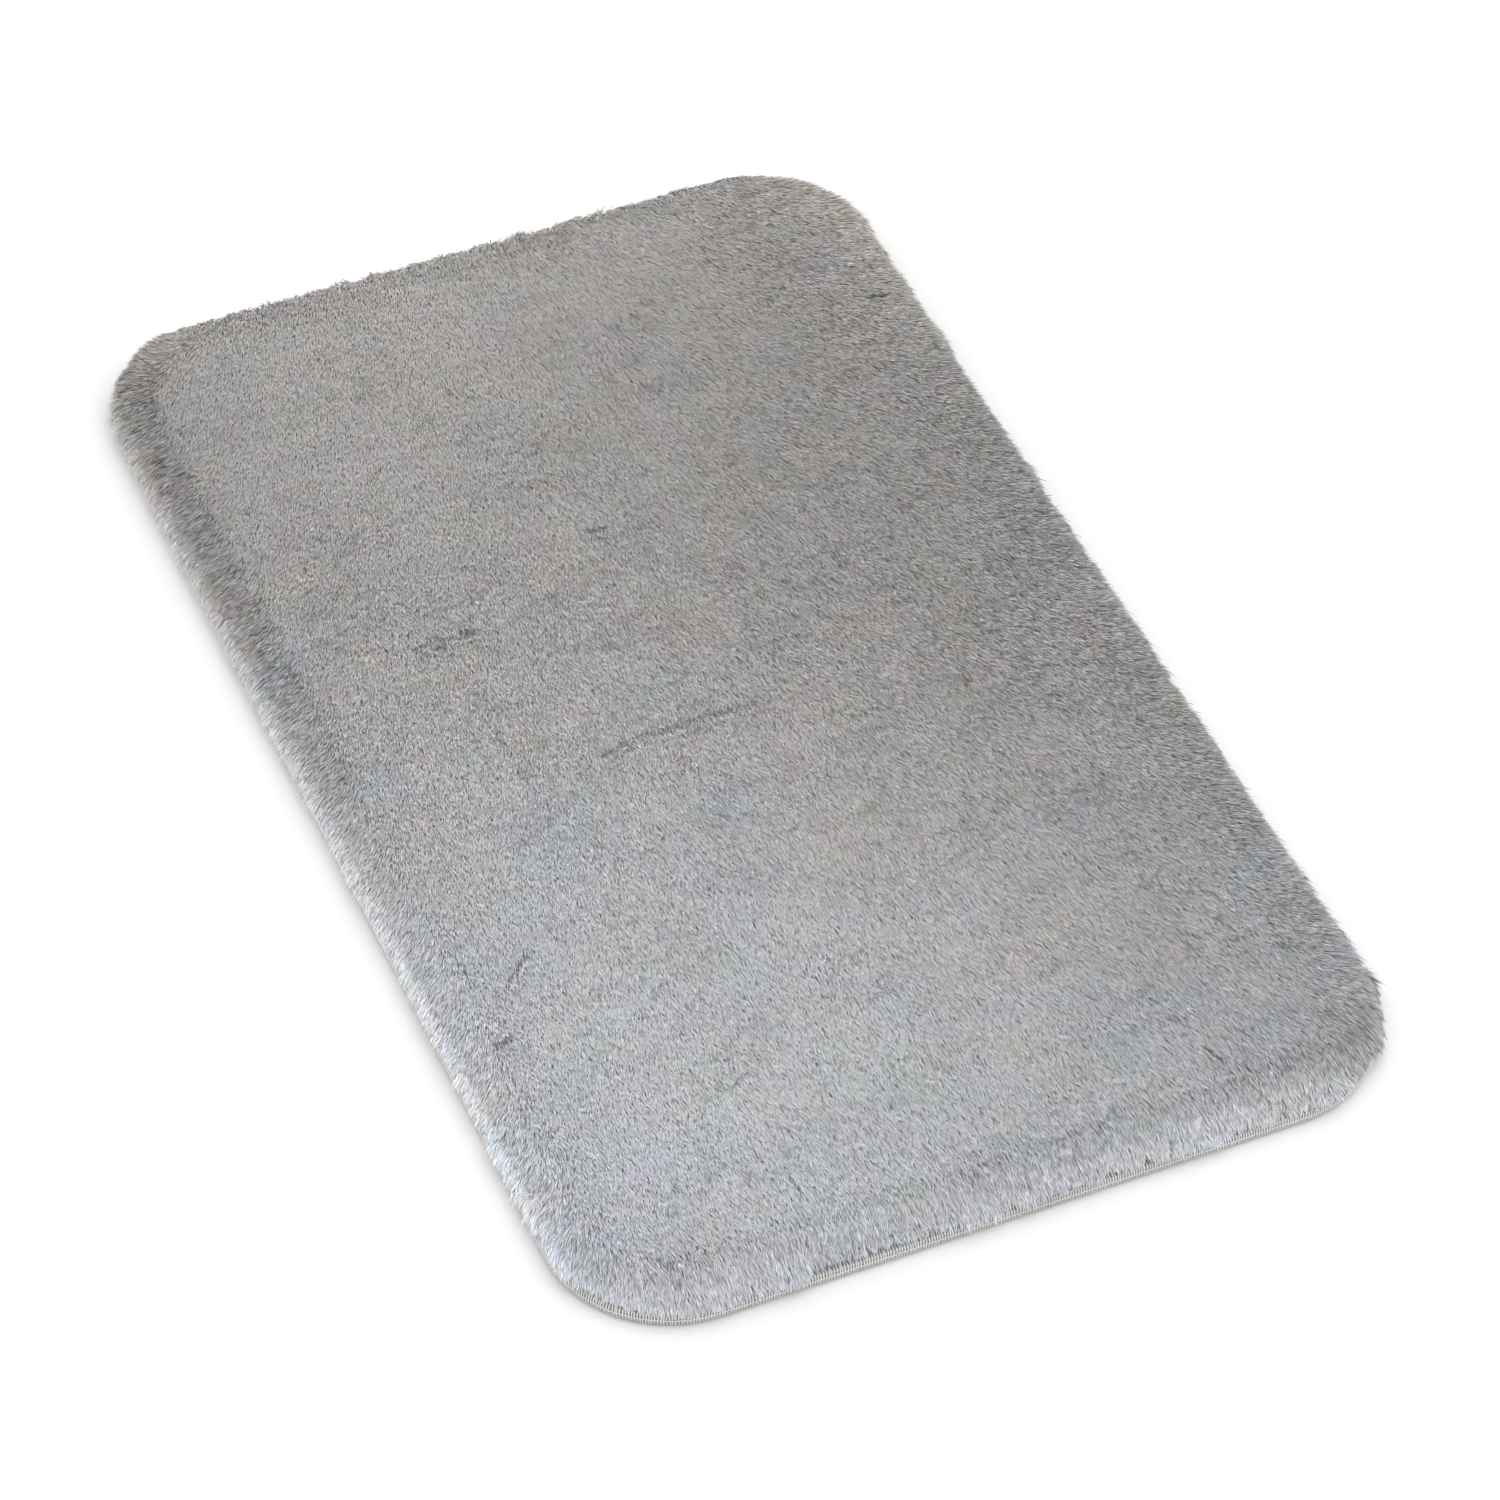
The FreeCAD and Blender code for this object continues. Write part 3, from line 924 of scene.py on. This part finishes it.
# ---- locks on the top
rng = np.random.default_rng(2024)
N = int(4 * HW * HL * DENS)
x = rng.uniform(-HW, HW, N)
y = rng.uniform(-HL, HL, N)
d, gx, gy = inside_by(x, y, HW, HL, HR)
full = fullness(gx, gy)
keep = d > edge_in(full)
x, y, d, gx, gy, full = (v[keep] for v in (x, y, d, gx, gy, full))
n = len(x)
iu, iv, cu, cv = lock_cells(x, y, 1.8, 31)
c0, c1, c2 = hash01(iu, iv, 41) - 0.5, hash01(iu, iv, 42) - 0.5, hash01(iu, iv, 43) - 0.5
ju, jv, _, _ = lock_cells(x + 2.0 * noise(x / 8, y / 8, 32), y + 2.0 * noise(x / 8, y / 8, 33), 6.0, 34)
t0, t1 = hash01(ju, jv, 44) - 0.5, hash01(ju, jv, 45) - 0.5
bz = busy(x, y)
lx, ly = nap(x, y)
turn = bz * (0.12 * c0 + 0.06 * t0 + rng.normal(0, 0.17, n))
lx, ly = lx * np.cos(turn) - ly * np.sin(turn), lx * np.sin(turn) + ly * np.cos(turn)
lean = np.stack([lx, ly, np.zeros(n)], -1)
slope = np.clip((core_to(full) - d) / (core_to(full) - core_from(full)), 0, 1) * 0.8
nrm = unit(np.stack([gx * slope, gy * slope, np.ones(n)], -1))
lean = unit(lean - nrm * (lean * nrm).sum(-1, keepdims=True))
root = np.stack([x, y, core_z(x, y, d, full) - SINK], -1)
brink = smooth(26, 11, d)
shade_band = np.clip(-gx, 0, 1) * smooth(-90, 170, y + 60 * np.clip(gy, 0, 1)) * smooth(33, 22, d + 3.5 * noise(x / 14, y / 9, 95))
length = 8.6 * (1 + 0.10 * c1 + 0.04 * t1 + rng.normal(0, 0.07, n)) * (1 + 0.28 * brink * np.clip(gx, 0, 1))
rise = 0.34 + bz * (0.03 * c2 + 0.02 * t0 + rng.normal(0, 0.055, n)) + 0.06 * np.clip(gy, 0, 1) * brink
rise = rise + shade_band * (0.14 + 0.25 * t0 + 0.3 * c2)
left, near, dark = cut_at_partings(x, y, lx * length * 0.93, ly * length * 0.93, rng)
rise = rise + 0.06 * (1 - left) + 0.15 * near
length = length * left
width = WIDE * (1 + rng.normal(0, 0.15, n)).clip(0.5, 1.6) * (0.6 + 0.4 * left)
pull = np.stack([cu - x, cv - y, np.zeros(n)], -1) * 0.17
crisp = 1 + 0.25 * smooth(-0.3, 0.8, x / 243)
# tone: random tone times painted light and shade, broad across the mat and in bands where the hair lies differently,
# and painted shade on the tips in the partings
tone_and_painted_light = (1 + bz * (rng.normal(0, 0.15, n) * crisp + 0.035 * c2 + 0.02 * t1) + painted_lie_shading(x, y)) * (1 - 0.85 * np.minimum(dark, 1)) * painted_light_gradient(x, y)
# painted shadow lines where one row of hair ends on the next
tone_and_painted_light = tone_and_painted_light * (1 - painted_shadow_lines(x + lx * length * 0.8, y + ly * length * 0.8))
tone_and_painted_light = tone_and_painted_light * (1 - 0.24 * shade_band + 0.3 * shade_band * c0)
# over the front shoulder the hair is darkened: painted shade
front_painted_shade = np.clip(smooth(0.1, 0.7, -gy), 0, 1) * (1 - 0.5 * smooth(0.2, 0.8, -gx))
tone_and_painted_light = tone_and_painted_light * (1 - front_painted_shade * (0.03 * smooth(46, 30, d) + 0.10 * smooth(28, 17, d)) * (1 - 0.6 * smooth(20, 130, x) * smooth(0.75, 0.98, -gy)))
# on the right shoulder, painted shade towards the front and painted light towards the back
tone_and_painted_light = tone_and_painted_light * (1 - (0.05 * smooth(250, 50, y) - 0.07 * smooth(140, 250, y)) * np.clip(gx, 0, 1) ** 6 * smooth(60, 15, d))
co = grow(
    root, nrm, lean, length, width, 2, rise0=rise * 1.35, rise1=rise * 0.55, droop=0.55 * np.clip(-gy, 0, 1) * smooth(32, 16, d), pull=pull,
    roll=rng.normal(0, 1, n) * (0.56 + 0.40 * smooth(44, 20, d)), jitter=rng.normal(0, 0.05, (n, 3)),
)
TOP_PIECES = max(1, int(math.ceil(n * 2 / 130000)))
# the roots' painted shade is lighter near the edge of the top
split_into_pieces("pile_top_locks", co, blade_tones(tone_and_painted_light, 2, n, ROOT_SHADED_TONE + 0.3 * smooth(44, 20, d)), 2, TOP_PIECES, fur)
print("top locks", n, "pieces", TOP_PIECES)

# ---- locks on the shoulder and the sides
EP = perimeter(HW, HL, HR)
ARC = 24.0
M = int(EP * ARC * DENS * 1.05)
s = rng.uniform(0, EP, M)
tau = rng.uniform(0, 1, M)                     # 0 at the lowest root, 1 where the top locks take over
px, py, nx, ny = along(s, HW, HL, HR)
full = fullness(nx, ny)
ca, cb = core_from(full), core_to(full)
w_max = np.arccos(1 - (edge_in(full) + 1.5 - ca) / (cb - ca))
w = tau ** 0.85 * w_max
din = ca + (cb - ca) * (1 - np.cos(w))
zr = CORE_Z0 + (CORE_Z1 - CORE_Z0) * np.sin(w)
bx, by = px - nx * din, py - ny * din
g3 = np.stack([nx, ny, 0 * nx], -1)
up3 = np.array([0.0, 0.0, 1.0])
nrm = unit(g3 * (np.cos(w) / (cb - ca))[:, None] + up3 * (np.sin(w) / (CORE_Z1 - CORE_Z0))[:, None])
zr = zr + swell(bx, by) * smooth(CORE_EDGE, 30, din)
root = np.stack([bx, by, zr], -1) - nrm * SINK

# How far the fringe reaches along each part of the outline.
front_part = smooth(0.3, 0.9, -ny)
left_part = smooth(0.2, 0.9, -nx)
left_front = left_part * (1 - smooth(-60, 120, py))
left_back = left_part * smooth(-60, 120, py)
corner_fl = np.clip(-nx, 0, 1) * np.clip(-ny, 0, 1) * 2
tuft = noise(s / 19, s * 0 + 0.5, 51) + 0.7 * noise(s / 7.5, s * 0 + 4.5, 52)
shown = np.clip(front_part + left_front + corner_fl, 0, 1)     # where the overlock is left partly bare
drawn_back = front_part * smooth(-121, -112, px) * smooth(-22, -100, px)
right_half = front_part * smooth(-60, 40, px)
short = np.clip(0.30 * front_part + 0.35 * right_half + drawn_back + 0.40 * left_front + 0.30 * corner_fl + 0.35 * tuft * shown, 0, 1)
z_low = 4.6 + 2.4 * shown - 0.4 * corner_fl - 2.6 * left_back + 1.7 * tuft + 3.4 * drawn_back + 0.6 * front_part + 1.0 * right_half + 0.5 * left_front

lx, ly = nap(px - nx * din * 0.6, py - ny * din * 0.6)
iu, iv, cu, cv = lock_cells(s, tau * ARC, 2.2, 61)
# the lowest fringe on the left is thin and smooth, and painted pale: painted light for the white floor seen through its
# thin wisps
pale = smooth(0.2, 0.8, -nx) * smooth(0.66, 0.2, tau)
calm = smooth(0.1, 0.6, -nx) * smooth(0.85, 0.45, tau)
tc = (hash01(iu, iv, 62) - 0.5, hash01(iu, iv, 63) - 0.5, hash01(iu, iv, 64) - 0.5)
ju, jv, du, _ = lock_cells(s + 2.0 * noise(s / 9, tau * 3, 65), tau * ARC, 7.5, 66)
t0, t1 = hash01(ju, jv, 67) - 0.5, hash01(ju, jv, 68) - 0.5
turn = (1 - 0.6 * calm) * (0.30 * tc[0] + 0.34 * t0) + rng.normal(0, 0.18, M) + 0.4 * np.minimum(full, 1) * noise(s / 9, s * 0 + 6.5, 133)
lx, ly = lx * np.cos(turn) - ly * np.sin(turn), lx * np.sin(turn) + ly * np.cos(turn)
flat_lean = np.stack([lx, ly, 0 * lx], -1)
tang = flat_lean - nrm * (flat_lean * nrm).sum(-1, keepdims=True)
fall = unit(g3 * nrm[:, 2:3] - up3 * (nrm * g3).sum(-1, keepdims=True))   # down the surface
side_w = 1 - np.clip(w / w_max, 0, 1)
down = (0.10 + 0.75 * side_w ** 1.3) * (1 - 0.55 * np.minimum(full, 1))
rear = smooth(0.35, 0.95, ny) * (1 - smooth(0.15, 0.6, -nx))
splay = np.clip(-nx, 0, 1) * smooth(-90, 170, by + 60 * np.clip(ny, 0, 1))    # hair standing out over the back left side
steep = nrm[:, 2] / np.maximum(np.hypot(nrm[:, 0], nrm[:, 1]), 1e-6)          # how far the surface faces upwards
split = smooth(0.45, 0.75, steep + rng.normal(0, 0.06, M))
down = down * (1 - rear) + (2.0 * (1 - split) - 0.25 * split) * rear
down = down * (1 - 0.55 * splay)
lean = unit(tang + fall * down[:, None])
gap = 2.5 + 4.0 * side_w ** 1.4
stray = 1 + 0.28 * (rng.uniform(0, 1, M) < 0.05)
length = (8.8 + 2.4 * side_w + 1.6 * np.minimum(full, 1) * (1 - rear) - 0.4 * splay) * stray
length = length * (1 + (1 - 0.6 * calm) * (0.14 * tc[1] + 0.16 * t1) + rng.normal(0, 0.08, M))
ragged = 0.8 * noise(s / 13, s * 0 + 9.5, 131) + 0.6 * noise(s / 5.5, s * 0 + 2.5, 132)
far = np.minimum(full, 1)
length = length * (1 + 0.28 * far * ragged)
length = length * (1 - 0.40 * short * side_w ** 0.8)
ridge = rear * smooth(0.25, 0.7, steep) * smooth(6.0, 1.5, steep)
length = length * (1 - 0.18 * ridge)
band = splay * smooth(0.15, 0.55, tau)
rise = gap / 8.8 + 0.14 * far * ragged + (0.10 + 0.12 * band) * tc[2] + (0.10 + 0.16 * band) * t0 + rng.normal(0, 0.06, M) + 0.16 * band
left, near, dark = cut_at_partings(bx, by, lx * length * 0.93, ly * length * 0.93, rng)
length = length * left
rise = rise + 0.3 * near
width = WIDE * (1 + rng.normal(0, 0.15, M)).clip(0.5, 1.6)
tvec = np.stack([-ny, nx, 0 * nx], -1)
pull = tvec * ((1 - 0.8 * calm) * ((cu - s) * 0.30 + (du - s) * 0.22))[:, None]
# tone: random tone times painted light and shade, broad across the mat and in bands where the hair lies differently
tone_and_painted_light = (1 + (1 - 0.6 * calm) * (rng.normal(0, 0.14, M) + 0.09 * tc[2] + 0.07 * t1) + painted_lie_shading(bx, by)) * painted_light_gradient(bx, by)
# hair over the back left shoulder lies away from the light and is a little darker near the crest
crest = splay * smooth(0.1, 0.8, tau)
# with painted shade on the hair tips in the partings
tone_and_painted_light = tone_and_painted_light * (1 - 0.27 * crest + 0.10 * crest * t1 + 0.3 * crest * tc[0]) * (1 - 0.75 * np.minimum(dark, 1))
# over the front shoulder painted shade, with a little painted light low on the fringe
front_painted_shade = smooth(0.1, 0.7, -ny) * (1 - 0.55 * smooth(0.2, 0.8, -nx))
tone_and_painted_light = tone_and_painted_light * (1 - (0.17 - 0.20 * np.exp(-(((tau - 0.25) / 0.2) ** 2))) * front_painted_shade)
# painted shade on the low hair where the fringe is drawn back
tone_and_painted_light = tone_and_painted_light * (1 - 0.13 * drawn_back * smooth(1.1, 0.4, tau))
# painted light on the front side towards the right
tone_and_painted_light = tone_and_painted_light * (1 + 0.16 * front_part * smooth(20, 120, px) * smooth(0.75, 0.98, -ny))
# on the right side, painted shade towards the front and painted light towards the back
# painted light on the pale lowest fringe on the left, less at the front left corner
tone_and_painted_light = tone_and_painted_light * (1 + (0.46 + 0.02 * splay) * (1 - 0.7 * corner_fl) * pale) * (1 - (0.08 * smooth(250, 50, by) - 0.10 * smooth(140, 250, by)) * np.clip(nx, 0, 1) ** 6)
# painted shade high on the left side away from the back left, and painted light on the rear hair down the steep back
# side
tone_and_painted_light = tone_and_painted_light * (1 - 0.09 * np.clip(-nx, 0, 1) * (1 - splay) * smooth(0.35, 0.6, tau)) * (1 + 0.25 * rear * (1 - split))
args = dict(
    rise0=rise * (1.3 + 2.0 * side_w ** 2) * (1 - 0.1 * rear), rise1=rise * (0.6 + 0.1 * side_w) * (1 - 0.3 * rear),
    droop=0.18 + 0.75 * rear * split + 0.60 * front_part * smooth(0.45, 0.85, tau), pull=pull,
)
jit = rng.normal(0, 0.06, (M, 3))
roll = rng.normal(0, 1, M) * (0.45 + 0.50 * smooth(0.55, 0.95, tau))
co = grow(root, nrm, lean, length, width, 3, roll=roll, jitter=jit, **args)
# where a tip would hang past the fringe line the hair is that much shorter
over = z_low + rng.normal(0, 0.5, M) - co[:, -1, 2]
fallen = np.maximum(root[:, 2] - co[:, -1, 2], 0.5)
scale = np.clip(1 - np.maximum(over, 0) / fallen, 0.42, 1.0)
co = grow(root, nrm, lean, length * scale, width, 3, roll=roll, jitter=jit, **args)
# the hair lies over the overlock and never inside it
dv, _, _ = inside_by(co[:, :, 0], co[:, :, 1], HW, HL, HR)
bound = 1.6 + (Z_ROOT + 0.75 - 1.6) * smooth(OVER - 1.2, OVER + 0.1, dv)
bound[:, 0] = -99
co[:, :, 2] = np.maximum(co[:, :, 2], bound)
RIM_PIECES = max(1, int(math.ceil(M * 4 / 180000)))
# the roots' painted shade is lighter towards the top of the shoulder
split_into_pieces("pile_edge_locks", co, blade_tones(tone_and_painted_light, 3, M, ROOT_SHADED_TONE + 0.32 * smooth(0.5, 0.95, tau)), 3, RIM_PIECES, fur)
print("edge locks", M, "pieces", RIM_PIECES)

# ------------------------------------------------------------------ stage and light
bpy.ops.mesh.primitive_plane_add(size=12)
floor = bpy.context.object
floor.name = "studio_floor"
floor.data.materials.append(floor_material())

world = bpy.data.worlds.new("studio")
bpy.context.scene.world = world
world.use_nodes = True
wt = world.node_tree
bg = wt.nodes["Background"]
# an even white room, a little brighter towards the back right
sky = wt.nodes.new("ShaderNodeTexCoord")
dot = wt.nodes.new("ShaderNodeVectorMath")
dot.operation = "DOT_PRODUCT"
dot.inputs[1].default_value = (0.08, 0.07, 0.0)
wt.links.new(sky.outputs["Generated"], dot.inputs[0])
level = maths(wt, "ADD", dot.outputs["Value"], 1.0)
bg.inputs[0].default_value = (1.0, 1.0, 1.0, 1)
wt.links.new(maths(wt, "MULTIPLY", level, 1.20), bg.inputs[1])


def area(name, loc, target, size, power, colour):
    d = bpy.data.lights.new(name, "AREA")
    d.shape = "RECTANGLE"
    d.size, d.size_y = size
    d.energy = power
    d.color = colour
    o = bpy.data.objects.new(name, d)
    bpy.context.scene.collection.objects.link(o)
    o.location = loc
    o.rotation_euler = (Vector(target) - Vector(loc)).to_track_quat("-Z", "Y").to_euler()
    return o


area("soft_box", (0.5, -0.5, 2.2), (0, 0, 0), (2.0, 2.0), 14.0, (1.0, 0.99, 0.97))

scene = bpy.context.scene
scene.view_settings.view_transform = "Standard"
scene.view_settings.look = "None"
scene.view_settings.exposure = 0.0
scene.view_settings.gamma = 1.0
